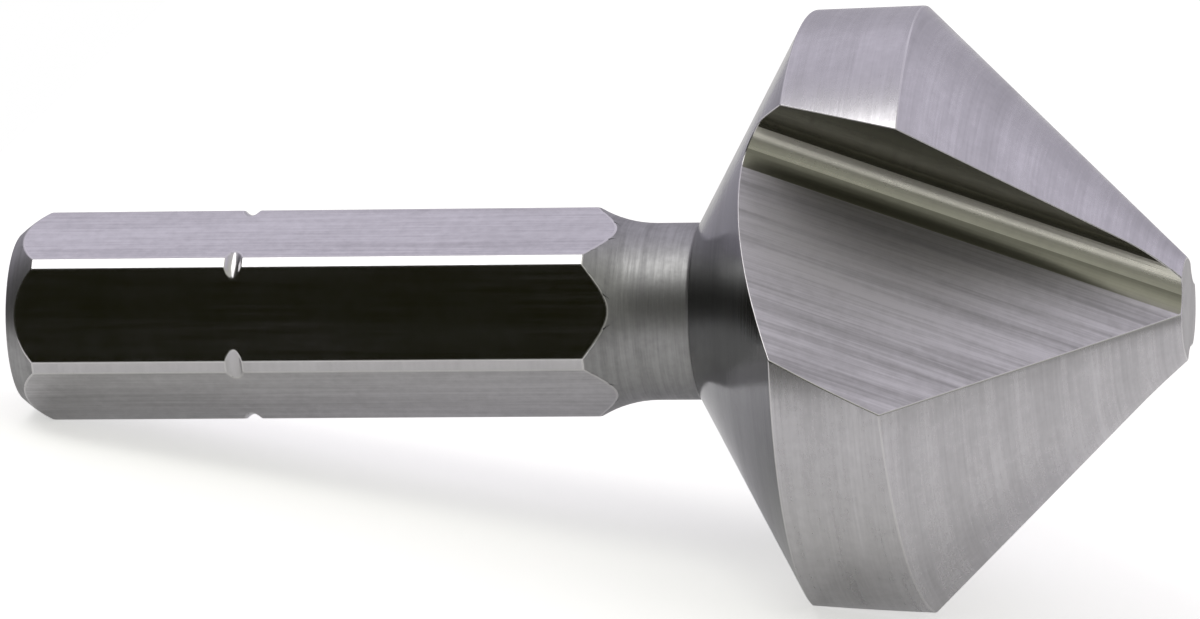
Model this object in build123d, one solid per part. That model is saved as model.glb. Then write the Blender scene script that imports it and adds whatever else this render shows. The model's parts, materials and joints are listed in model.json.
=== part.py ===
from build123d import *
import math
import os

# Countersink bit, 90 degrees, three flutes, on a hexagon insert shank. One piece of ground steel.
# Millimetres. The tool is built along +X, from the shank's end face at x = 0 to the tip, with one
# flat of the hexagon facing +Z, and is then laid down as it comes to rest on a bench.
# Directions round the axis are angles from +Z towards +Y, which run against the cutting turn.

# Driving dimensions ------------------------------------------------------------------------

# Hexagon shank, 1/4 in across flats, with its corners turned round
overall_length = 40.2
hex_sides = 6
hex_across_flats = 6.35
hex_corner_diameter = 7.1
shank_end_diameter = 5.7
shank_end_chamfer_length = 1.0
shank_end_crown_radius = 5.0

# Retention notch, a round groove that reaches only the hexagon's corners
notch_position = 8.03
notch_width = 0.58
notch_depth = 0.16

# End of the hexagon, which a hollow curve runs out into the round neck behind the head
hex_length = 20.08
hex_runout_radius = 4.0
neck_diameter = 6.0
head_root_radius = 0.15

# Head: outer land, back cone, front cone and flat tip
head_diameter = 20.5
land_length = 4.03
land_back_taper = 1.5
back_cone_half_angle = 60.5
point_angle = 90.0
tip_flat_diameter = 3.55

# Teeth: each one's cone is ground about an axis of its own, offset and leaning towards a line
# just ahead of the cutting edge, so the land falls away behind the edge, most at the rim. One
# tooth's cone gives way to the next along a line that the flutes take away.
tooth_count = 3
cutting_edge_direction = 36.0
tooth_border_direction = 15.0
relief_offset = 0.08
relief_tilt = 1.1
relief_lead = 25.0
grinding_allowance = 0.6

# Flutes: a straight V with a rounded root, ground at a slope to the axis. The steep wall is the
# rake face under the cutting edge, and the wide wall runs out to the heel of the tooth ahead.
flute_direction = 55.6
flute_slope = 23.4
flute_root_station = 30.0
flute_root_distance = 5.51
flute_root_offset = 0.21
rake_wall_angle = 49.9
wide_wall_angle = -12.1
flute_root_radius = 1.05

# Derived sizes -----------------------------------------------------------------------------

flat_radius = hex_across_flats / 2
corner_radius = hex_corner_diameter / 2
end_radius = shank_end_diameter / 2
neck_radius = neck_diameter / 2
head_radius = head_diameter / 2
tip_radius = tip_flat_diameter / 2

front_slope = math.tan(math.radians(point_angle / 2))
land_front = overall_length - (head_radius - tip_radius) / front_slope
land_back = land_front - land_length
land_slope = math.tan(math.radians(land_back_taper))
land_back_radius = head_radius - land_length * land_slope
neck_end = land_back - (land_back_radius - neck_radius) / math.tan(math.radians(back_cone_half_angle))
runout_height = corner_radius - neck_radius
runout_end = hex_length + math.sqrt(hex_runout_radius**2 - (hex_runout_radius - runout_height) ** 2)

tooth_pitch = 360.0 / tooth_count
reach = 2 * head_diameter
touch = 0.001
seated = (Align.CENTER, Align.CENTER, Align.MIN)


def around_axis(angle):
    """The unit vector square to the axis, at an angle from +Z towards +Y."""
    return Vector(0, math.sin(math.radians(angle)), math.cos(math.radians(angle)))


def turned_blank():
    """The bar as turned, with the front cone left full by the grinding allowance."""
    notch_start = (notch_position - notch_width / 2, corner_radius)
    notch_end = (notch_position + notch_width / 2, corner_radius)
    chamfer_end = (shank_end_chamfer_length, corner_radius)
    hexagon_end = (hex_length, corner_radius)
    neck_start = (runout_end, neck_radius)
    full_front = land_front + grinding_allowance
    shank = Polyline((overall_length, 0), (0, 0), (0, end_radius))
    shank += RadiusArc((0, end_radius), chamfer_end, shank_end_crown_radius)
    shank += Line(chamfer_end, notch_start)
    shank += SagittaArc(notch_start, notch_end, -notch_depth)
    shank += Line(notch_end, hexagon_end)
    shank += RadiusArc(hexagon_end, neck_start, -hex_runout_radius)
    neck = FilletPolyline(
        neck_start,
        (neck_end, neck_radius),
        (land_back, land_back_radius),
        radius=head_root_radius,
    )
    head = Polyline(
        (land_back, land_back_radius),
        (full_front, head_radius + grinding_allowance * land_slope),
        (overall_length, tip_radius + grinding_allowance),
        (overall_length, 0),
    )
    return revolve(make_face(shank + neck + head), Axis.X)


def hexagon_milling():
    """What is taken off the round bar to leave the six flats, as far as the slimmer neck."""
    round_bar = Plane.YZ * Circle(hex_corner_diameter)
    hexagon = Plane.YZ * RegularPolygon(flat_radius, hex_sides, major_radius=False)
    return extrude(round_bar - hexagon, runout_end)


def flute_root(number):
    """A point on one flute's sharp root, and the flute's own directions there."""
    turn = number * tooth_pitch
    outward = around_axis(flute_direction + turn)
    sideways = around_axis(flute_direction + turn - 90)
    slope = math.radians(flute_slope)
    travel = Vector(math.cos(slope), 0, 0) - math.sin(slope) * outward
    root = Vector(flute_root_station, 0, 0) + flute_root_distance * outward - flute_root_offset * sideways
    return root, travel, sideways


def wall_direction(angle):
    """Where a flute's wall points in its own section, from the root out."""
    return Vector(math.cos(math.radians(angle)), math.sin(math.radians(angle)))


def relieved_front(blank, number):
    """The blank, with its front ground to one tooth's own leaning and offset cone."""
    high_side = around_axis(cutting_edge_direction - relief_lead + number * tooth_pitch)
    edge_share = math.cos(math.radians(relief_lead))
    tilt = math.radians(relief_tilt)
    half_angle = math.radians(point_angle / 2) - tilt * edge_share
    apex = Vector(overall_length + (tip_radius - relief_offset * edge_share) / front_slope, 0, 0)
    backwards = Vector(-math.cos(tilt), 0, 0) + math.sin(tilt) * high_side
    axis_plane = Plane(origin=apex + relief_offset * high_side, z_dir=backwards)
    depth = 2 * overall_length
    return blank & axis_plane * Cone(0, depth * math.tan(half_angle), depth, align=seated)


def tooth_sector(solid, number):
    """The third of a solid that belongs to one tooth, between two half planes from the axis."""
    for border, side in ((number, Keep.TOP), (number + 1, Keep.BOTTOM)):
        across = around_axis(tooth_border_direction + border * tooth_pitch + 90)
        solid = split(solid, bisect_by=Plane(origin=(0, 0, 0), x_dir=(1, 0, 0), z_dir=across), keep=side)
    return solid


def flute(number):
    """The straight V groove that one pass of the grinding wheel leaves."""
    root, travel, sideways = flute_root(number)
    section = Plane(origin=root, x_dir=sideways, z_dir=-travel)
    rake_end = reach * wall_direction(rake_wall_angle)
    wide_end = reach * wall_direction(wide_wall_angle)
    walls = FilletPolyline(rake_end, (0, 0), wide_end, radius=flute_root_radius)
    return extrude(section * make_face(walls + Line(wide_end, rake_end)), reach, both=True)


def bench_under(solid):
    """The plane it rests on, under the back corners of two lands and one corner of the hexagon's end."""
    corners = [vertex.center() for vertex in solid.vertices()]
    land_corners = [corner for corner in corners if abs(corner.X - land_back) < touch]
    shank_corners = [corner for corner in corners if abs(corner.X - shank_end_chamfer_length) < touch]
    land_corners.sort(key=lambda corner: corner.Y)
    low, high = land_corners[:2]
    for foot in shank_corners:
        up = (low - foot).cross(high - foot).normalized()
        if up.Y < 0:
            up = -up
        if min((corner - foot).dot(up) for corner in shank_corners) > -touch:
            forwards = Vector(1, 0, 0) - up * up.X
            return Plane(origin=foot, x_dir=forwards, z_dir=up)


# Making it: each tooth has a third of the blank with its own relieved front. The steps between
# the thirds lie where the flutes are cut, so each relief starts at its own cutting edge.
blank = turned_blank() - hexagon_milling()
bit = tooth_sector(relieved_front(blank, 0), 0)
for number in range(1, tooth_count):
    bit += tooth_sector(relieved_front(blank, number), number)
for number in range(tooth_count):
    bit -= flute(number)

# Laying it down: the flute that faces -Y goes underneath.
placing = bench_under(bit).location.inverse()
bit = placing * bit
box = bit.bounding_box()
placing = Pos(-box.center().X, -box.center().Y, -box.min.Z) * placing
bit = Pos(-box.center().X, -box.center().Y, -box.min.Z) * bit
bit.label = "countersink_bit"

os.makedirs("parts", exist_ok=True)
export_step(bit, "parts/countersink_bit.step")

shank_end = placing.position
for name, direction in (("axis", (1, 0, 0)), ("+Y side", (0, 1, 0)), ("+Z flat", (0, 0, 1))):
    turned = (placing * Pos(direction)).position - shank_end
    print(name, [round(value, 6) for value in turned])
print("shank end centre", [round(value, 4) for value in shank_end])
print("size", bit.bounding_box().size)
print("solids", len(bit.solids()), "faces", len(bit.faces()), "valid", bit.is_valid, "volume", bit.volume)
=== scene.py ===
# %% [markdown]
# # A countersink bit in ground steel
#
# A countersink bit opens the mouth of a drilled hole into a cone, so that a screw head sits flush.
# This one is a single bar of high-speed steel: a hexagon shank that a quick-change holder grips, a
# short turned neck, and a head with three cutting teeth. Nothing on it moves and nothing is fitted
# to it, so the whole lesson is about one form and the finishes that each tool left on it.
#
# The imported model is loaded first. It is the fixed frame: the size and the place of every face come
# from it, and nothing in this file moves it.

# %% Load the frame
import json
import math

import bpy
from mathutils import Matrix, Vector


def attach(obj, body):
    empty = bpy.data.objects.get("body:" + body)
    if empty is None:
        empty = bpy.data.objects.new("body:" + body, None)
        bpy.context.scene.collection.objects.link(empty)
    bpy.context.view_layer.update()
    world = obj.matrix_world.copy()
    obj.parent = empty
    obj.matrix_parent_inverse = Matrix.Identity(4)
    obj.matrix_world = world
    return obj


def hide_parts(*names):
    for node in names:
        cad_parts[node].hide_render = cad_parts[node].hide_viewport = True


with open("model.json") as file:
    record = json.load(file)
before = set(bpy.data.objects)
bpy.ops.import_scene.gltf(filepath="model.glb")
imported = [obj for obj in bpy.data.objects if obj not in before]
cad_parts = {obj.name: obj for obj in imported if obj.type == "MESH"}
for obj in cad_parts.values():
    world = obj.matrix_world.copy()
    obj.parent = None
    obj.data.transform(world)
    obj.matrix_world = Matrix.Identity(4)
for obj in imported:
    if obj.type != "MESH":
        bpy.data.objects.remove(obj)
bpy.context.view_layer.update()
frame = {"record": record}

mm = 0.001

# %% [markdown]
# ## The bit's own axes
#
# The bit lies as it comes to rest, with one flute underneath and its tip raised, so its own axis is
# not an axis of the room. The record says where the shank's end face is and which way it faces, and
# which way one flat of the hexagon faces. Those two directions give a small frame that belongs to
# the bit: millimetres along the axis from the shank's end, then sideways, then out of the flat that
# faces the viewer. The camera and the lamp are aimed in it, and the finished body is laid down by it.

# %% A frame that belongs to the bit
mounts = {mount["name"]: mount for mount in frame["record"]["mounts"]}
shank_end = Vector(mounts["shank_end"]["pos_m"])
axis = -Vector(mounts["shank_end"]["axis"]).normalized()
flat_out = Vector(mounts["hex_flat_front"]["axis"]).normalized()
sideways = flat_out.cross(axis).normalized()
to_room = Matrix((axis, sideways, flat_out)).transposed()


def in_room(point):
    """A point of the bit's own frame, in millimetres, as metres in the room."""
    return to_room @ (Vector(point) * mm) + shank_end


print("the axis rises", round(math.degrees(math.asin(axis.z)), 2), "degrees from shank to tip")

# %% [markdown]
# ## The camera
#
# A long lens, a little over a third of a metre away, keeps the bit's edges nearly parallel, as in a
# catalogue picture. The camera stands square to the facing flat of the hexagon, but a little towards
# the tip, so that the flutes open to view and the tip shows as a thin ellipse. It is turned about
# its own line of sight until the bit's axis runs almost level across the picture.

# %% Camera
camera_distance = 0.362
camera_lens = 320.3
sensor_width = 36.0
view_towards_tip = math.radians(11.37)
camera_turn = math.radians(0.45)
aim = in_room((20.07, 0.08, 0.0))

back = to_room @ Vector((math.sin(view_towards_tip), 0, math.cos(view_towards_tip)))
level = to_room @ Vector((math.cos(view_towards_tip), 0, -math.sin(view_towards_tip)))
right = Matrix.Rotation(-camera_turn, 3, back) @ level
camera_axes = Matrix((right, back.cross(right), back)).transposed()

bpy.ops.object.camera_add()
camera = bpy.context.object
camera.name = "camera"
camera.matrix_world = Matrix.Translation(aim + camera_distance * back) @ camera_axes.to_4x4()
camera.data.sensor_width = sensor_width
camera.data.lens = camera_lens
bpy.context.scene.camera = camera
print("camera", round(math.degrees(math.asin(back.z)), 1), "degrees above the level")

# %% [markdown]
# ## The sizes of the bit
#
# The shape is made anew rather than taken over from the imported solid, because a solid model comes
# as loose slivers of triangles, and its edges can't be rounded. The sizes below are the bit's own,
# in millimetres. At first one unit is a millimetre and the bit points along X: the tools that round
# edges and merge points work poorly on a body only a few hundredths of a unit long. It is laid down
# at the end.

# %% Sizes in millimetres
overall_length = 40.2
flat_distance = 3.175
corner_radius = 3.55
end_radius = 2.85
chamfer_length = 1.0
chamfer_arc = 5.0
notch_place = 8.03
notch_half_width = 0.29
notch_arc = 0.343
hexagon_length = 20.08
runout_arc = 4.0
neck_radius = 3.0
head_root_arc = 0.15
land_front_radius = 10.25
land_back_radius = 10.1445
land_length = 4.03
back_cone_angle = math.radians(60.5)
front_cone_angle = math.radians(45)
tip_radius = 1.775

land_front = overall_length - (land_front_radius - tip_radius) / math.tan(front_cone_angle)
land_back = land_front - land_length
neck_end = land_back - (land_back_radius - neck_radius) / math.tan(back_cone_angle)
runout_end = hexagon_length + math.sqrt(runout_arc**2 - (runout_arc - corner_radius + neck_radius) ** 2)
print("neck ends at", round(neck_end, 2), "mm, land from", round(land_back, 2), "to", round(land_front, 2))

# %% [markdown]
# ## The turned blank
#
# On the lathe the bit starts as a round bar with its whole outline turned: the chamfered end, the
# shallow groove, the hollow curve down to the neck, the back of the head, the land and the front
# cone. In Blender that is one outline, spun once round the axis. The outline is drawn as by hand:
# a single point is extruded from place to place. Round stretches are arcs worked out from their
# radius, with few enough points that each face still reads as one clean ring.

# %% Two helpers for an outline
def arc(start, end, radius, steps, hollow=False):
    """Points on an arc from start to end, bulging away from the axis unless it is hollow."""
    start, end = Vector(start), Vector(end)
    half = (end - start) / 2
    side = Vector((half.y, -half.x)).normalized() * (-1 if hollow else 1)
    centre = start + half + side * math.sqrt(radius**2 - half.length_squared)
    sweep = (start - centre).angle_signed(end - centre)
    turns = [Matrix.Rotation(-sweep * step / steps, 2) for step in range(steps + 1)]
    return [centre + turn @ (start - centre) for turn in turns]


def draw_outline(name, points):
    """One point, extruded through a list of places in the X-Z plane."""
    bpy.ops.object.select_all(action="DESELECT")
    bpy.ops.mesh.primitive_plane_add(size=1, location=(points[0][0], 0, points[0][1]))
    piece = bpy.context.object
    piece.name = name
    bpy.ops.object.transform_apply(location=True)
    bpy.ops.object.mode_set(mode="EDIT")
    bpy.ops.mesh.select_all(action="SELECT")
    bpy.ops.mesh.merge(type="CENTER")
    for here, there in zip(points, points[1:]):
        step = (there[0] - here[0], 0, there[1] - here[1])
        bpy.ops.mesh.extrude_region_move(TRANSFORM_OT_translate={"value": step})
    bpy.ops.object.mode_set(mode="OBJECT")
    return piece


print("an arc in 4 steps has", len(arc((0, 0), (1, 0), 1, 4)), "points")

# %% [markdown]
# The outline runs from the rim of the shank's end face to the rim of the tip. Where the neck meets
# the back of the head, the lathe tool's own small radius stays in the corner. It touches the neck
# and the cone at the same distance from their corner, the length of its tangent.

# %% The outline
chamfer_steps = 4
notch_steps = 12
runout_steps = 8
head_root_steps = 6

chamfer_end = (chamfer_length, corner_radius)
notch_start = (notch_place - notch_half_width, corner_radius)
notch_end = (notch_place + notch_half_width, corner_radius)
hexagon_end = (hexagon_length, corner_radius)
root_tangent = head_root_arc * math.tan(back_cone_angle / 2)
root_start = (neck_end - root_tangent, neck_radius)
root_rise = root_tangent * math.sin(back_cone_angle)
root_end = (neck_end + root_tangent * math.cos(back_cone_angle), neck_radius + root_rise)

outline = arc((0, end_radius), chamfer_end, chamfer_arc, chamfer_steps)
outline += arc(notch_start, notch_end, notch_arc, notch_steps, hollow=True)
outline += arc(hexagon_end, (runout_end, neck_radius), runout_arc, runout_steps, hollow=True)
outline += arc(root_start, root_end, head_root_arc, head_root_steps, hollow=True)
outline += [(land_back, land_back_radius), (land_front, land_front_radius), (overall_length, tip_radius)]
bit = draw_outline("ground_bit", outline)
print("outline", len(bit.data.vertices), "points")

# %% [markdown]
# A full spin closes on itself, and a merge after it makes sure that no seam is left. Points that
# lie less than a hair apart, here a ten-thousandth of a millimetre, count as one point. The outline
# leaves the bit's two ends open, and each is closed with one flat face rather than a fan of thin
# triangles: a single face takes a clean rounded edge later.

# %% Spinning the outline round the axis
spin_steps = 144
hair = 1e-4


def select_only(piece):
    bpy.ops.object.select_all(action="DESELECT")
    piece.select_set(True)
    bpy.context.view_layer.objects.active = piece


def select_where(piece, kind, test):
    """Selects the piece's points, edges or faces that pass a test, and nothing else, in edit mode."""
    bpy.ops.object.mode_set(mode="EDIT")
    bpy.ops.mesh.select_mode(type=kind)
    bpy.ops.mesh.select_all(action="DESELECT")
    bpy.ops.object.mode_set(mode="OBJECT")
    parts = {"VERT": piece.data.vertices, "EDGE": piece.data.edges, "FACE": piece.data.polygons}[kind]
    for part in parts:
        part.select = test(part)
    bpy.ops.object.mode_set(mode="EDIT")


select_only(bit)
bpy.ops.object.mode_set(mode="EDIT")
bpy.ops.mesh.select_all(action="SELECT")
bpy.ops.mesh.spin(steps=spin_steps, angle=math.tau, center=(0, 0, 0), axis=(1, 0, 0))
bpy.ops.mesh.select_all(action="SELECT")
bpy.ops.mesh.remove_doubles(threshold=hair)
for open_end in (0, overall_length):
    select_where(bit, "VERT", lambda point: abs(point.co.x - open_end) < hair)
    bpy.ops.mesh.edge_face_add()
bpy.ops.mesh.select_all(action="SELECT")
bpy.ops.mesh.normals_make_consistent(inside=False)
bpy.ops.object.mode_set(mode="OBJECT")
print("blank", len(bit.data.vertices), "points,", len(bit.data.polygons), "faces")

# %% [markdown]
# ## The relief of the three teeth
#
# A tooth can cut only if the metal behind its edge gets out of the way. The front of each tooth is
# therefore ground to a cone of its own, set a little off the bit's axis and leaning by a degree,
# so that the land falls away behind the edge. Each tooth has a third of the turn, and the borders
# between them fall where a flute is about to be cut, half way between two rows of the blank's
# points, so that every point belongs to one tooth.

# %% One tooth's own cone
tooth_count = 3
tooth_pitch = math.tau / tooth_count
tooth_border = math.radians(16.25)
edge_direction = math.radians(36)
relief_offset = 0.08
relief_tilt = math.radians(1.1)
relief_lead = math.radians(25)


def around_axis(angle):
    """The direction square to the axis, at an angle from +Z towards +Y."""
    return Vector((0, math.sin(angle), math.cos(angle)))


def tooth_of(point):
    """The number of the tooth that a point belongs to."""
    direction = math.atan2(point.y, point.z) - tooth_border
    return int(direction % math.tau // tooth_pitch)


def outside_relief(point, tooth):
    """How far a point stands out of one tooth's relieved cone, as an angle."""
    high_side = around_axis(edge_direction - relief_lead + tooth * tooth_pitch)
    share = math.cos(relief_lead)
    apex_place = overall_length + (tip_radius - relief_offset * share) / math.tan(front_cone_angle)
    apex = Vector((apex_place, 0, 0)) + relief_offset * high_side
    backwards = Vector((-math.cos(relief_tilt), 0, 0)) + math.sin(relief_tilt) * high_side
    return (point - apex).angle(backwards) - (front_cone_angle - relief_tilt * share)


print(tooth_count, "cones,", relief_offset, "mm off the axis, leaning", round(math.degrees(relief_tilt), 1))

# %% [markdown]
# The blank's points already lie on circles. Those on the rim slide along the land, and those on the
# tip's edge slide across the tip, to where their tooth's cone passes, and the front cone between
# them follows. How far a point slides is found by halving a stretch again and again.

# %% Relieving the front
search_reach = 1.0
halvings = 40
land_taper = (land_front_radius - land_back_radius) / land_length


def relieved(start, way):
    """The place where a line from a point, along a given way, meets the point's own relieved cone."""
    tooth = tooth_of(start)
    low, high = -search_reach, search_reach
    for _ in range(halvings):
        middle = (low + high) / 2
        if outside_relief(start + middle * way, tooth) > 0:
            high = middle
        else:
            low = middle
    return start + low * way


moves = []
for point in bit.data.vertices:
    start = point.co.copy()
    outwards = Vector((0, start.y, start.z)).normalized()
    if abs(start.x - land_front) < hair:
        point.co = relieved(start, Vector((1, 0, 0)) + land_taper * outwards)
    elif abs(start.x - overall_length) < hair:
        point.co = relieved(start, outwards)
    moves.append((point.co - start).length)
print("relieved points move by up to", round(max(moves), 3), "mm")

# %% [markdown]
# ## The hexagon
#
# The flats are planes, so each is one bisect cut that throws away what lies outside it and closes
# the hole with a single face. Only the shank's faces are selected, which keeps the head whole. The
# bar is slimmer than the hexagon's sharp corners, so a narrow round strip is left at each corner,
# and each flat ends in a curve at the chamfer and in another where the hollow runout begins.

# %% Milling six flats
hexagon_sides = 6
for side in range(hexagon_sides):
    facing = around_axis(side * math.tau / hexagon_sides)
    select_where(bit, "FACE", lambda face: face.center.x < runout_end)
    bpy.ops.mesh.bisect(plane_co=flat_distance * facing, plane_no=facing, use_fill=True, clear_outer=True)
bpy.ops.object.mode_set(mode="OBJECT")
print("with flats", len(bit.data.polygons), "faces")

# %% [markdown]
# ## The flutes
#
# A grinding wheel with a V-shaped rim passes across the head at a slope to the axis and leaves a
# straight groove with two flat walls and a rounded root. The steep wall stands under the cutting
# edge, and the wide wall runs out to the heel of the tooth ahead. The wheel's path is a point on
# the sharp root that the V would have, the way of travel, and the angle of each wall.

# %% The grinding wheel's path
flute_direction = math.radians(55.6)
flute_slope = math.radians(23.4)
flute_station = 30.0
flute_distance = 5.51
flute_offset = 0.21
steep_wall = math.radians(49.9)
wide_wall = math.radians(-12.1)


def flute_frame(number):
    """One flute's root point, the wheel's travel, and the two directions of its section."""
    outwards = around_axis(flute_direction + number * tooth_pitch)
    across = around_axis(flute_direction + number * tooth_pitch - math.pi / 2)
    travel = Vector((math.cos(flute_slope), 0, 0)) - math.sin(flute_slope) * outwards
    root = Vector((flute_station, 0, 0)) + flute_distance * outwards - flute_offset * across
    return root, travel, across, (-travel).cross(across)


def wall_way(number, angle):
    """The way one wall of a flute runs in its section, out from the root."""
    across, up = flute_frame(number)[2:]
    return math.cos(angle) * across + math.sin(angle) * up


print("the V opens by", round(math.degrees(steep_wall - wide_wall), 1), "degrees")

# %% [markdown]
# The cutter made here is that V: a flat section, extruded along the wheel's travel, with a bevel of
# many segments for the round root. A bevel's even profile is a circle only at a square corner. In a
# V this narrow it would run too deep, so the profile is worked out from where the middle of a true
# round root lies above the sharp one.

# %% The shape of the wheel
flute_root_arc = 1.05
root_segments = 16
reach = 30.0

half_opening = (steep_wall - wide_wall) / 2
wheel_tangent = flute_root_arc / math.tan(half_opening)
root_depth = flute_root_arc / math.sin(half_opening) - flute_root_arc
root_profile = (1 - root_depth / (2 * wheel_tangent * math.cos(half_opening))) ** 2


def flute_cutter(number):
    """The V that one pass of the wheel takes away, with its rounded root."""
    root, travel = flute_frame(number)[:2]
    steep = root + reach * wall_way(number, steep_wall)
    wide = root + reach * wall_way(number, wide_wall)
    beyond = steep + wide - root
    bpy.ops.object.select_all(action="DESELECT")
    bpy.ops.mesh.primitive_plane_add(size=1)
    cutter = bpy.context.object
    cutter.name = f"flute_cutter_{number}"
    for point, place in zip(cutter.data.vertices, (root, wide, steep, beyond)):
        point.co = place - reach * travel
    bpy.ops.object.mode_set(mode="EDIT")
    bpy.ops.mesh.select_all(action="SELECT")
    bpy.ops.mesh.extrude_region_move(TRANSFORM_OT_translate={"value": 2 * reach * travel})
    bpy.ops.mesh.select_all(action="SELECT")
    bpy.ops.mesh.normals_make_consistent(inside=False)

    def on_root(index):
        return (cutter.data.vertices[index].co - root).cross(travel).length < hair

    select_where(cutter, "EDGE", lambda edge: all(on_root(index) for index in edge.vertices))
    bpy.ops.mesh.bevel(offset=wheel_tangent, segments=root_segments, profile=root_profile, affect="EDGES")
    bpy.ops.object.mode_set(mode="OBJECT")
    return cutter


print("root", round(root_depth, 3), "mm above the sharp V, bevel profile", round(root_profile, 3))

# %% [markdown]
# A boolean then takes each cutter away from the bit. The exact solver is used, because the flutes
# leave long sharp rims on the head, and the rims are what the eye follows.

# %% Grinding the three flutes
for number in range(tooth_count):
    cutter = flute_cutter(number)
    select_only(bit)
    cut = bit.modifiers.new(cutter.name, "BOOLEAN")
    cut.operation = "DIFFERENCE"
    cut.solver = "EXACT"
    cut.object = cutter
    bpy.ops.object.modifier_apply(modifier=cut.name)
    bpy.data.objects.remove(cutter)
print("fluted", len(bit.data.polygons), "faces")

# %% [markdown]
# ## Which tool left which face
#
# Every face shows how it was cut. The flats are drawn through a die, so their marks run along the
# bar, and the narrow corners between them are polished by every holder that they slide into. The
# chamfer, the neck and the back of the head were turned, so their marks run round it. The lands
# and the front cone were ground, finer, also round it. The flutes were ground along their length:
# the steep rake wall, the round root, and the wide wall that ends at the heel. The rake and the
# sides of the root are painted dark, a painted shade, and the middle of the root is painted light,
# a painted highlight.
#
# A face of a flute is known by the way it looks. The wide wall is flat, so its faces look almost
# exactly square to it, while the parts painted with shade or highlight are named by the angle that
# they turn from a wall.

# %% The finishes, and the faces of a flute
finishes = ["flat", "corner", "turned", "back_cone", "land", "front_cone"]
finishes += ["rake", "root", "root_side", "heel", "tip", "worn_edge"]
flat_wall = math.cos(math.radians(2.5))
# Root faces within these angles of a wall get painted shade; the rest of the root gets a painted highlight.
shade_from_steep = math.cos(math.radians(31))
shade_from_wide = math.cos(math.radians(40))


def flute_of(place):
    """The number of the flute that a place in a flute belongs to."""
    return round(math.atan2(place.y, place.z) / tooth_pitch) % tooth_count


def wall_facing(number, angle):
    """The way the steep wall of a flute looks, or the opposite of the way its wide wall looks."""
    travel = flute_frame(number)[1]
    return travel.cross(wall_way(number, angle))


def finish_in_flute(place, facing):
    number = flute_of(place)
    to_steep = facing.dot(wall_facing(number, steep_wall))
    to_wide = -facing.dot(wall_facing(number, wide_wall))
    if to_wide > flat_wall:
        return "heel"
    if to_steep > shade_from_steep:
        return "rake"
    return "root_side" if to_wide > shade_from_wide else "root"


print(len(finishes), "finishes")

# %% [markdown]
# On the shank and the head, the place along the axis and the lean of the face tell the finishes
# apart. How much a face looks along the axis is the first part of its normal, and how much it looks
# straight out from the axis is worked out from the other two. The groove across the corners gets
# the corners' finish, because the same ball or spring polishes it.

# %% The faces of the shank and the head
slight = 0.001
cone_match = 0.01
cone_outward = 0.4
land_lean = 0.06
land_outward = 0.99
front_lean = 0.6


def finish_on_shank(place, facing):
    if abs(facing.x) > slight:
        return "corner" if abs(place.x - notch_place) < notch_half_width else "turned"
    if abs(facing.y * place.y + facing.z * place.z - flat_distance) < slight:
        return "flat"
    return "corner" if place.x < hexagon_length else "turned"


def finish_of(face):
    """The finish of a face, by where it lies and which way it looks."""
    place, facing = face.center, face.normal
    from_axis = max(math.hypot(place.y, place.z), hair)
    outward = (facing.y * place.y + facing.z * place.z) / from_axis
    if place.x > overall_length - hair:
        return "tip"
    if place.x < root_start[0]:
        return finish_on_shank(place, facing)
    if abs(facing.x + math.sin(back_cone_angle)) < cone_match and outward > cone_outward:
        return "back_cone"
    if place.x < root_end[0]:
        return "turned"
    if abs(facing.x) < land_lean and outward > land_outward:
        return "land"
    if facing.x > front_lean and outward > front_lean:
        return "front_cone"
    return finish_in_flute(place, facing)


print("head from", round(root_end[0], 2), "mm")

# %% [markdown]
# Each face gets the slot of its finish. This is done before the edges are rounded, while every
# face is still a whole one.

# %% Sorting the faces by finish
counts = {name: 0 for name in finishes}
for name in finishes:
    bit.data.materials.append(bpy.data.materials.new(name))
for face in bit.data.polygons:
    finish = finish_of(face)
    face.material_index = finishes.index(finish)
    counts[finish] += 1
print("faces by finish", counts)

# %% [markdown]
# ## Rounded edges
#
# No real edge is perfectly sharp, and the thin bright line that it throws is much of what makes
# steel look like steel. A bevel a few hundredths of a millimetre wide gives that line, and its
# faces get a slot of their own, for steel rubbed bright by handling. Points that the cuts left
# almost on top of each other are merged first. The corner normals are then weighted by the size
# of the faces, so that flats stay flat and only the narrow bevels turn the light.

# %% Rounding the edges
merge_distance = 0.01
edge_width = 0.04
edge_segments = 2
least_turn = math.radians(12)
neutral_weight = 50

select_only(bit)
bpy.ops.object.mode_set(mode="EDIT")
bpy.ops.mesh.select_mode(type="VERT")
bpy.ops.mesh.select_all(action="SELECT")
bpy.ops.mesh.remove_doubles(threshold=merge_distance)
bpy.ops.object.mode_set(mode="OBJECT")
bpy.ops.object.shade_smooth()

rounding = bit.modifiers.new("rounding", "BEVEL")
rounding.width = edge_width
rounding.segments = edge_segments
rounding.limit_method = "ANGLE"
rounding.angle_limit = least_turn
rounding.use_clamp_overlap = False
rounding.material = finishes.index("worn_edge")
bpy.ops.object.modifier_apply(modifier=rounding.name)
weighting = bit.modifiers.new("weighting", "WEIGHTED_NORMAL")
weighting.mode = "FACE_AREA_WITH_ANGLE"
weighting.weight = neutral_weight
bpy.ops.object.modifier_apply(modifier=weighting.name)
print("rounded", len(bit.data.vertices), "points,", len(bit.data.polygons), "faces")

# %% [markdown]
# ## The lay of the marks
#
# A machinist calls the direction of the tool marks the lay. Every finish below draws its scratches
# along it, so each corner of each face is told where it lies across the marks and how far along
# them, in millimetres. On a flat, the marks run along the bar. In a flute, they follow the wheel,
# and the place across is measured down one wall, round the root and up the other. A third number
# keeps the pattern of one side or flute apart from the next. On everything turned or ground round,
# the place across is measured along the outline, and the other two numbers are the plain position
# round the axis, which has no seam.

# %% Across and along the marks
side_gap = 7.0
end_facing = 0.99
slant = {"front_cone": 1 / math.cos(front_cone_angle), "back_cone": 1 / math.cos(back_cone_angle)}


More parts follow.
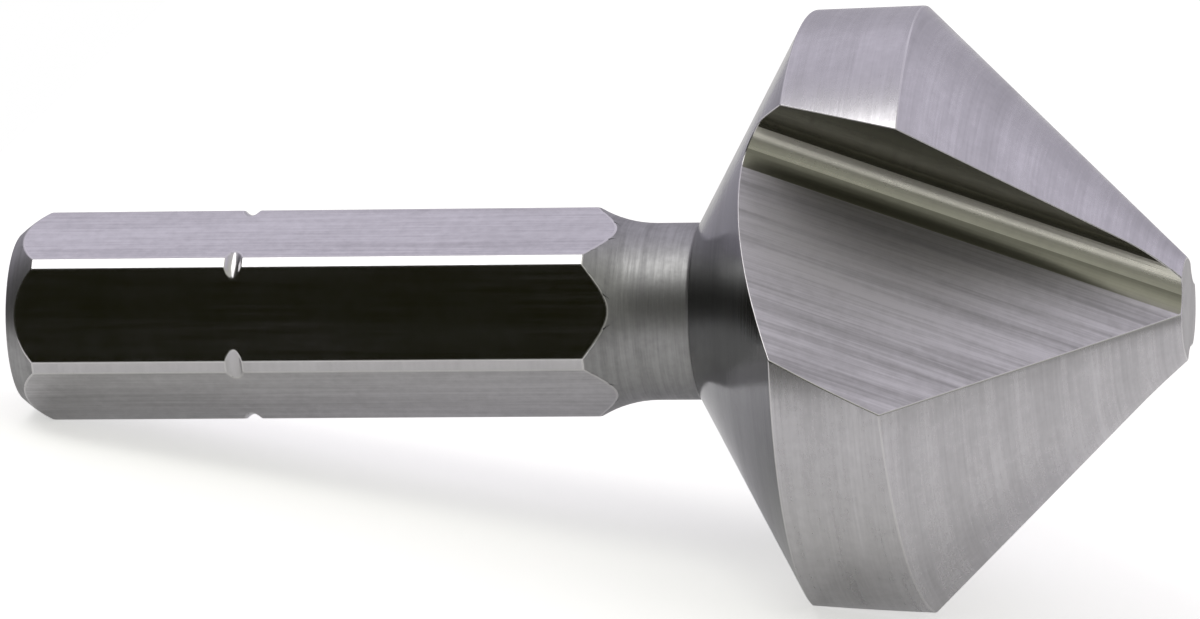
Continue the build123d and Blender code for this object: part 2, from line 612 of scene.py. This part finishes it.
def lay_on_flat(place, facing):
    side = round(math.atan2(facing.y, facing.z) / (math.tau / hexagon_sides))
    along_face = around_axis(side * math.tau / hexagon_sides + math.pi / 2)
    return place.dot(along_face), place.x, side * side_gap


def lay_in_flute(place, number):
    root, travel = flute_frame(number)[:2]
    over = wall_way(number, steep_wall) - wall_way(number, wide_wall)
    from_root = (place - root).dot(over) / (1 - math.cos(steep_wall - wide_wall))
    return from_root, (place - root).dot(travel), number * side_gap


def lay(finish, place, face):
    """Where a place on a face lies: across the marks, along them, and the number beside those."""
    if finish == "flat":
        return lay_on_flat(place, face.normal)
    if finish in ("rake", "root", "root_side", "heel"):
        return lay_in_flute(place, flute_of(face.center))
    if finish == "tip" or abs(face.normal.x) > end_facing:
        return math.hypot(place.y, place.z), place.y, place.z
    return place.x * slant.get(finish, 1.0), place.y, place.z


print("a millimetre of the front cone is", round(1 / slant["front_cone"], 3), "mm of the axis")

# %% [markdown]
# The three numbers are kept on the mesh as an attribute of its corners, so that two faces with
# different marks can share an edge. Every material reads them from there by the attribute's name.

# %% Writing the lay on the mesh
marks = bit.data.attributes.new("lay", "FLOAT_VECTOR", "CORNER")
for face in bit.data.polygons:
    finish = finishes[face.material_index]
    for corner, index in zip(face.loop_indices, face.vertices):
        marks.data[corner].vector = lay(finish, bit.data.vertices[index].co, face)
print("lay written on", len(marks.data), "corners")

# %% [markdown]
# ## Laying it down
#
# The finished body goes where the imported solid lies: scaled to metres, turned into the bit's place
# in the room, and the move applied to the mesh, so that the object itself stays at the origin. Then
# it rides on the part's one body, and stands for the solid in every picture.

# %% In its place in the room
bit.matrix_world = Matrix.Translation(shank_end) @ (to_room * mm).to_4x4()
select_only(bit)
bpy.ops.object.transform_apply(location=True, rotation=True, scale=True)
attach(bit, "root")
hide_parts("countersink_bit")
print("lowest point", round(min(point.co.z for point in bit.data.vertices) / mm, 3), "mm")

# %% [markdown]
# ## Effects that every finish shares
#
# Ground steel has no pattern of its own: it shows scratches, a faint film from handling, and how
# both change its gloss. Each effect is a node group, made once and placed in each material with
# values of its own. These helpers place a node, start a group, and make the three kinds of node
# that the effects need most: a sum, a noise and a blend of two colours.

# %% Helpers for node trees
blend_first = 6
blend_second = 7
blend_result = 2


def add_node(tree, kind, sockets=None, **settings):
    """A node with its settings, each socket given a value or linked from another node's output."""
    node = tree.nodes.new("ShaderNode" + kind)
    for name, value in settings.items():
        setattr(node, name, value)
    for name, value in (sockets or {}).items():
        if isinstance(value, bpy.types.NodeSocket):
            tree.links.new(value, node.inputs[name])
        else:
            node.inputs[name].default_value = value
    return node


def new_group(name, inputs, outputs):
    """An empty node group with named sockets, and the nodes that stand for its two ends."""
    group = bpy.data.node_groups.new(name, "ShaderNodeTree")
    for label, kind in inputs.items():
        group.interface.new_socket(label, in_out="INPUT", socket_type="NodeSocket" + kind)
    for label, kind in outputs.items():
        group.interface.new_socket(label, in_out="OUTPUT", socket_type="NodeSocket" + kind)
    return group, group.nodes.new("NodeGroupInput"), group.nodes.new("NodeGroupOutput")


def math_node(tree, operation, first, second, third=0.0):
    sockets = {0: first, 1: second, 2: third}
    return add_node(tree, "Math", sockets, operation=operation).outputs["Value"]


def noise(tree, place, scale, detail, roughness):
    sockets = {"Vector": place, "Scale": scale, "Detail": detail, "Roughness": roughness}
    return add_node(tree, "TexNoise", sockets).outputs["Fac"]


def blend(tree, amount, first, second):
    """The first colour where the amount is 0 and the second where it is 1."""
    sockets = {"Factor": amount, blend_first: first, blend_second: second}
    return add_node(tree, "Mix", sockets, data_type="RGBA").outputs[blend_result]


print("helpers for single nodes, groups, sums, noise and blends")

# %% [markdown]
# The first effect draws the scratches: noise that is short across the marks and long along them,
# once fine, for the relief, and once broad, for the bands that a wheel leaves as it wears. Lengths
# are in millimetres, because the lay is.

# %% Scratches
fine_detail = 4
fine_roughness = 0.65
band_scale = 0.14
band_detail = 3
band_roughness = 0.6

scratches, group_in, group_out = new_group(
    "grinding_scratches",
    {"Lay": "Vector", "Spacing": "Float", "Length": "Float"},
    {"Fine": "Float", "Bands": "Float"},
)
split = add_node(scratches, "SeparateXYZ", {"Vector": group_in.outputs["Lay"]})
across = math_node(scratches, "DIVIDE", split.outputs["X"], group_in.outputs["Spacing"])
along = math_node(scratches, "DIVIDE", split.outputs["Y"], group_in.outputs["Length"])
beside = math_node(scratches, "DIVIDE", split.outputs["Z"], group_in.outputs["Length"])
stretched = add_node(scratches, "CombineXYZ", {"X": across, "Y": along, "Z": beside}).outputs["Vector"]
fine = noise(scratches, stretched, 1.0, fine_detail, fine_roughness)
bands = noise(scratches, stretched, band_scale, band_detail, band_roughness)
scratches.links.new(fine, group_out.inputs["Fine"])
scratches.links.new(bands, group_out.inputs["Bands"])
print("a band is about", round(1 / band_scale), "scratches wide")

# %% [markdown]
# The second effect is the film. Oil, fingerprints and storage leave steel slightly cloudy in soft
# blotches of a few millimetres, with small freckles in them. It has no lay, so it reads the plain
# position, in metres.

# %% Film from handling
cloud_size = 5.0 * mm
cloud_detail = 3
cloud_roughness = 0.55
freckle_size = 0.40 * mm
freckle_detail = 2
freckle_roughness = 0.7

film, group_in, group_out = new_group(
    "handling_film", {"Place": "Vector"}, {"Clouds": "Float", "Freckles": "Float"}
)
clouds = noise(film, group_in.outputs["Place"], 1 / cloud_size, cloud_detail, cloud_roughness)
freckles = noise(film, group_in.outputs["Place"], 1 / freckle_size, freckle_detail, freckle_roughness)
film.links.new(clouds, group_out.inputs["Clouds"])
film.links.new(freckles, group_out.inputs["Freckles"])
print("clouds", round(cloud_size / mm, 1), "mm, freckles", round(freckle_size / mm, 1), "mm")

# %% [markdown]
# The third effect turns all of this into a colour and a gloss: scratches, bands, clouds and
# freckles each shift both by their own share, which a finish sets. Noise lies round a half, so the
# half is taken off it first, and with every share at nothing the tone stays in its middle. The
# shifts are kept small enough to look like steel and not like dirt.

# %% Tone
middle_noise = 0.5
middle_tone = 0.4
effects = ["Fine", "Bands", "Clouds", "Freckles"]

inputs = {"Steel": "Color", "Film": "Color", "Gloss Change": "Float", "Roughness": "Float"}
inputs |= {effect: "Float" for effect in effects} | {effect + " Share": "Float" for effect in effects}
tone, group_in, group_out = new_group("steel_tone", inputs, {"Color": "Color", "Roughness": "Float"})
given = group_in.outputs
total = middle_tone
for effect in effects:
    swing = math_node(tone, "SUBTRACT", given[effect], middle_noise)
    total = math_node(tone, "MULTIPLY_ADD", swing, given[effect + " Share"], total)
filmed = add_node(tone, "Clamp", {"Value": total}).outputs["Result"]
colour = blend(tone, filmed, given["Steel"], given["Film"])
off_middle = math_node(tone, "SUBTRACT", filmed, middle_tone)
gloss = math_node(tone, "MULTIPLY_ADD", off_middle, given["Gloss Change"], given["Roughness"])
tone.links.new(colour, group_out.inputs["Color"])
tone.links.new(gloss, group_out.inputs["Roughness"])
print("groups", [group.name for group in bpy.data.node_groups])

# %% [markdown]
# ## The finishes
#
# One function builds a finish from the three groups and a bump, and the finishes differ only in
# their numbers: how far apart the marks stand, how long they run, how deep they are, and how glossy
# the steel between them is. The deepest marks are a hundredth of a millimetre or so. Where the film
# is thick, the steel is darker, by the same share in each colour. The shader itself stays in each
# material, with a plain full Metallic.

# %% One finish from its numbers
clean_steel = (0.64, 0.63, 0.65, 1)
film_share = 0.70


def finish_steel(name, spacing, length, depth, roughness, shares, gloss_change=0.1, tint=clean_steel):
    """Shares are those of the fine scratches, the bands, the clouds and the freckles."""
    material = bpy.data.materials[name]
    material.use_nodes = True
    tree = material.node_tree
    lay_here = add_node(tree, "Attribute", attribute_name="lay").outputs["Vector"]
    place = add_node(tree, "TexCoord").outputs["Object"]
    marked = {"Lay": lay_here, "Spacing": spacing, "Length": length}
    scratch = add_node(tree, "Group", marked, node_tree=scratches)
    cloudy = add_node(tree, "Group", {"Place": place}, node_tree=film)
    darker = (*(film_share * channel for channel in tint[:3]), 1)
    plain = {"Steel": tint, "Film": darker, "Gloss Change": gloss_change, "Roughness": roughness}
    toned = add_node(tree, "Group", plain, node_tree=tone)
    for effect, share in zip(effects, shares):
        source = scratch if effect in scratch.outputs else cloudy
        tree.links.new(source.outputs[effect], toned.inputs[effect])
        toned.inputs[effect + " Share"].default_value = share
    bump = add_node(tree, "Bump", {"Height": scratch.outputs["Fine"], "Distance": depth * mm})
    shader = tree.nodes["Principled BSDF"]
    shader.inputs["Metallic"].default_value = 1.0
    tree.links.new(toned.outputs["Color"], shader.inputs["Base Color"])
    tree.links.new(toned.outputs["Roughness"], shader.inputs["Roughness"])
    tree.links.new(bump.outputs["Normal"], shader.inputs["Normal"])
    print(name, "marks", spacing, "mm apart,", depth, "mm deep, roughness", roughness)


# %% [markdown]
# The flats are among the smoothest faces, with long shallow die lines, and the corners between them
# are rubbed smoother still. The turned faces have the deepest marks, and their steel is painted
# darker, a painted shade that dims the lamp's highlight on the neck. The back of the head is turned
# too, with a polishing cut: glossy and marked with faint rings, and painted nearly black, a painted
# shade that stands in for the dark room it mirrors.

# %% Drawn and turned steel
# Turned steel is painted darker than clean steel, a painted shade. The back of the head is painted nearly
# black, a painted shade.
turned_painted_shade = (0.42, 0.42, 0.425, 1)
back_cone_painted_shade = (0.26, 0.265, 0.27, 1)

finish_steel("flat", spacing=0.14, length=6.0, depth=0.003, roughness=0.17, shares=(1.5, 1.3, 0.7, 0.9))
finish_steel("corner", spacing=0.14, length=8.0, depth=0.002, roughness=0.16, shares=(0.4, 0.6, 0.4, 0.4))
finish_steel(
    "turned", spacing=0.13, length=3.0, depth=0.012, roughness=0.46,
    shares=(1.8, 1.6, 0.8, 1.0), tint=turned_painted_shade,
)
finish_steel(
    "back_cone", spacing=0.15, length=3.0, depth=0.003, roughness=0.14,
    shares=(0.9, 1.4, 0.8, 0.6), tint=back_cone_painted_shade,
)

# %% [markdown]
# The lands and the front cone come off a fine wheel, one after the other, so they share their marks
# and differ a little in gloss. The tip is ground off last, to length, and its steel is painted
# darker, a painted shade. The rubbed edges are bright and nearly without marks.

# %% Steel from the fine wheel, and rubbed edges
fine_wheel = (0.9, 1.2, 0.8, 0.6)
# The tip's steel is painted darker than clean steel, a painted shade.
tip_painted_shade = (0.42, 0.41, 0.42, 1)
rubbed_steel = (0.74, 0.73, 0.74, 1)

finish_steel("land", spacing=0.11, length=4.0, depth=0.003, roughness=0.26, shares=fine_wheel)
finish_steel("front_cone", spacing=0.11, length=4.0, depth=0.003, roughness=0.28, shares=fine_wheel)
finish_steel(
    "tip", spacing=0.10, length=2.0, depth=0.003, roughness=0.32,
    shares=(0.8, 1.0, 0.6, 0.5), tint=tip_painted_shade,
)
finish_steel(
    "worn_edge", spacing=0.20, length=3.0, depth=0.001, roughness=0.22,
    shares=(0.3, 0.3, 0.2, 0.2), tint=rubbed_steel,
)

# %% [markdown]
# The flutes come off a coarser wheel, which leaves plain bands along the wide wall. The steep wall
# is painted dark brown, a painted shade, the sides of the root a lighter painted shade, and the
# middle of the root a pale straw colour, a painted highlight. The wide wall is painted a little
# lighter than clean steel, painted light.

# %% Steel from the flute wheel
flute_marks = (0.8, 1.4, 0.6, 0.5)
# Painted shade on the rake and the root's sides, a painted highlight in the root's middle, painted light on
# the wide wall.
rake_painted_shade = (0.15, 0.148, 0.115, 1)
root_side_painted_shade = (0.42, 0.415, 0.355, 1)
root_painted_highlight = (0.84, 0.83, 0.73, 1)
heel_painted_light = (0.72, 0.70, 0.75, 1)

finish_steel(
    "rake", spacing=0.10, length=7.0, depth=0.004, roughness=0.22,
    shares=(1.6, 3.0, 1.0, 1.2), tint=rake_painted_shade,
)
finish_steel(
    "root", spacing=0.10, length=7.0, depth=0.003, roughness=0.29,
    shares=flute_marks, tint=root_painted_highlight,
)
finish_steel(
    "root_side", spacing=0.10, length=7.0, depth=0.003, roughness=0.32,
    shares=flute_marks, tint=root_side_painted_shade,
)
finish_steel(
    "heel", spacing=0.14, length=7.0, depth=0.007, roughness=0.62,
    shares=(2.4, 3.2, 0.8, 0.6), gloss_change=0.14, tint=heel_painted_light,
)

# %% [markdown]
# ## The floor
#
# The bit lies on a plain pale sheet that takes its shadow. The sheet ends a little way in front of
# the bit and just beside the end of its shank, and runs far back behind it, as on a studio table,
# so that steel which looks towards the camera mirrors the dark room and not more sheet.

# %% Sheet
sheet_front = -0.036
sheet_back = 0.70
sheet_left = -0.028
sheet_right = 0.60

bpy.ops.object.select_all(action="DESELECT")
bpy.ops.mesh.primitive_plane_add(size=1)
floor = bpy.context.object
floor.name = "pale_sheet"
floor.scale = (sheet_right - sheet_left, sheet_back - sheet_front, 1)
floor.location = ((sheet_right + sheet_left) / 2, (sheet_back + sheet_front) / 2, 0)
bpy.ops.object.transform_apply(location=True, scale=True)
print("sheet", round((sheet_back - sheet_front) / mm), "mm deep")

# %% [markdown]
# The paper is nearly white and has no shine. The camera, and steel that mirrors the sheet, see it
# lighter than the lamp makes it, through a faint glow that only their rays meet. The shadow stays,
# because the glow is added to the light that the sheet gets and doesn't take its place.

# %% Paper
paper_colour = (0.86, 0.86, 0.84, 1)
paper_roughness = 0.9
paper_shine = 0.1
glow_colour = (1, 1, 0.985, 1)
glow_for_camera = 0.55
glow_for_mirrors = 0.17

sheet_paper = bpy.data.materials.new("sheet_paper")
sheet_paper.use_nodes = True
tree = sheet_paper.node_tree
shader = tree.nodes["Principled BSDF"]
shader.inputs["Base Color"].default_value = paper_colour
shader.inputs["Roughness"].default_value = paper_roughness
shader.inputs["Specular IOR Level"].default_value = paper_shine
shader.inputs["Emission Color"].default_value = glow_colour
path = add_node(tree, "LightPath")
mirrored = math_node(tree, "MAXIMUM", path.outputs["Is Glossy Ray"], path.outputs["Is Transmission Ray"])
for_mirrors = math_node(tree, "MULTIPLY", mirrored, glow_for_mirrors)
glow = math_node(tree, "MULTIPLY_ADD", path.outputs["Is Camera Ray"], glow_for_camera, for_mirrors)
tree.links.new(glow, shader.inputs["Emission Strength"])
floor.data.materials.append(sheet_paper)
print("glow", glow_for_camera, "for the camera and", glow_for_mirrors, "for mirrors")

# %% [markdown]
# ## The room
#
# Polished steel is only as good as what it mirrors. A studio hangs pale cloths behind and above the
# table and leaves the side with the camera dark, which turns the flat that faces the viewer nearly
# black and makes its edges read. Here the room is a world whose colour depends on direction alone.
# Two helpers do the work: one tells how near a direction is to a given way, and the other colours a
# wall by height, from the floor over the horizon to straight overhead.

# %% Helpers for the room
room = bpy.data.worlds.new("pale_room")
bpy.context.scene.world = room
room.use_nodes = True
room_tree = room.node_tree
direction = add_node(room_tree, "TexCoord").outputs["Generated"]


def along_way(way):
    """How far each direction runs along a given way: 1 straight along it and -1 straight against."""
    sockets = {0: direction, 1: way}
    return add_node(room_tree, "VectorMath", sockets, operation="DOT_PRODUCT").outputs["Value"]


def facing_amount(way, low, high):
    """From 0 to 1, softly, as a direction comes round to a given way."""
    sockets = {"Value": along_way(way), "From Min": low, "From Max": high}
    return add_node(room_tree, "MapRange", sockets, interpolation_type="SMOOTHSTEP").outputs["Result"]


def wall_by_height(levels, tint):
    """A wall's colour by height: 0 is straight down, 0.5 the horizon and 1 straight overhead."""
    height = math_node(room_tree, "MULTIPLY_ADD", along_way((0, 0, 1)), 0.5, 0.5)
    ramp = add_node(room_tree, "ValToRGB", {"Fac": height})
    ramp.color_ramp.interpolation = "EASE"
    stops = ramp.color_ramp.elements
    while len(stops) < len(levels):
        stops.new(0.5)
    for stop, (place, level) in zip(stops, levels.items()):
        stop.position = place
        stop.color = (*(level * channel for channel in tint), 1)
    return ramp.outputs["Color"]


print("world", room.name)

# %% [markdown]
# The far wall is a pale cloth, lightest about half way up, with a greyer ceiling over it. The near
# side is dim at the horizon and gets lighter towards the ceiling. Between the two, the walls change
# over softly.

# %% The walls
far_wall = {0.50: 0.50, 0.67: 0.55, 0.82: 0.80, 0.90: 0.70, 0.98: 0.70}
near_wall = {0.35: 0.10, 0.50: 0.28, 0.62: 0.34, 0.80: 0.46, 0.98: 0.70}
cloth_tint = (1.0, 0.955, 1.08)
shade_tint = (1.0, 1.0, 0.90)
change_over = 0.35

far, near = wall_by_height(far_wall, cloth_tint), wall_by_height(near_wall, shade_tint)
walls = blend(room_tree, facing_amount((0, 1, 0), -change_over, change_over), near, far)
print("far wall up to", max(far_wall.values()), "near wall up to", max(near_wall.values()))

# %% [markdown]
# Two dark patches lie over the walls. One is the dark end of the room on the left, which the back
# of the head mirrors. The other, nearly black, is a card above and to the left of the camera, just
# where the flat that faces the viewer mirrors it. The camera itself sees plain white.

# %% The dark patches, and white for the camera
card_colour = (0.008, 0.008, 0.002, 1)
card_direction = Vector((-0.42, -0.79, 0.43)).normalized()
card_inner = math.cos(math.radians(25))
card_outer = math.cos(math.radians(36))
left_colour = (0.035, 0.034, 0.028, 1)
left_direction = Vector((-0.93, -0.36, -0.05)).normalized()
left_inner = math.cos(math.radians(30))
left_outer = math.cos(math.radians(60))
plain_white = (1, 1, 1, 1)

at_left = facing_amount(left_direction, left_outer, left_inner)
at_card = facing_amount(card_direction, card_outer, card_inner)
with_left = blend(room_tree, at_left, walls, left_colour)
with_card = blend(room_tree, at_card, with_left, card_colour)
for_camera = add_node(room_tree, "LightPath").outputs["Is Camera Ray"]
seen = blend(room_tree, for_camera, with_card, plain_white)
room_tree.links.new(seen, room_tree.nodes["Background"].inputs["Color"])
print("card", round(math.degrees(math.acos(card_outer)), 1), "degrees from its middle to its soft edge")

# %% [markdown]
# ## The lamp
#
# One softbox hangs above the near left side of the bench. It gives the shadow under the bit, and its
# mirror image is the white line along the shank's upper corner.

# %% Softbox
lamp_direction = Vector((-0.386, -0.276, 0.880)).normalized()
lamp_distance = 0.5
lamp_size = 0.28
lamp_brightness = 2.0
lamp_colour = (1.0, 0.99, 0.98)
lamp_aim = in_room((overall_length / 2, 0, 0))

bpy.ops.object.light_add(type="AREA")
lamp = bpy.context.object
lamp.name = "softbox"
lamp.data.shape = "SQUARE"
lamp.data.size = lamp_size
lamp.data.energy = lamp_brightness * math.pi * lamp_size**2
lamp.data.color = lamp_colour
turned = lamp_direction.to_track_quat("Z", "Y").to_matrix().to_4x4()
lamp.matrix_world = Matrix.Translation(lamp_aim + lamp_distance * lamp_direction) @ turned
print("softbox", round(lamp.data.energy, 3), "W")

# %% [markdown]
# ## Colours as written
#
# The Standard view shows colours as they are written, with no film curve. The finish may not make
# the bit larger.

# %% The view
bpy.context.scene.view_settings.view_transform = "Standard"
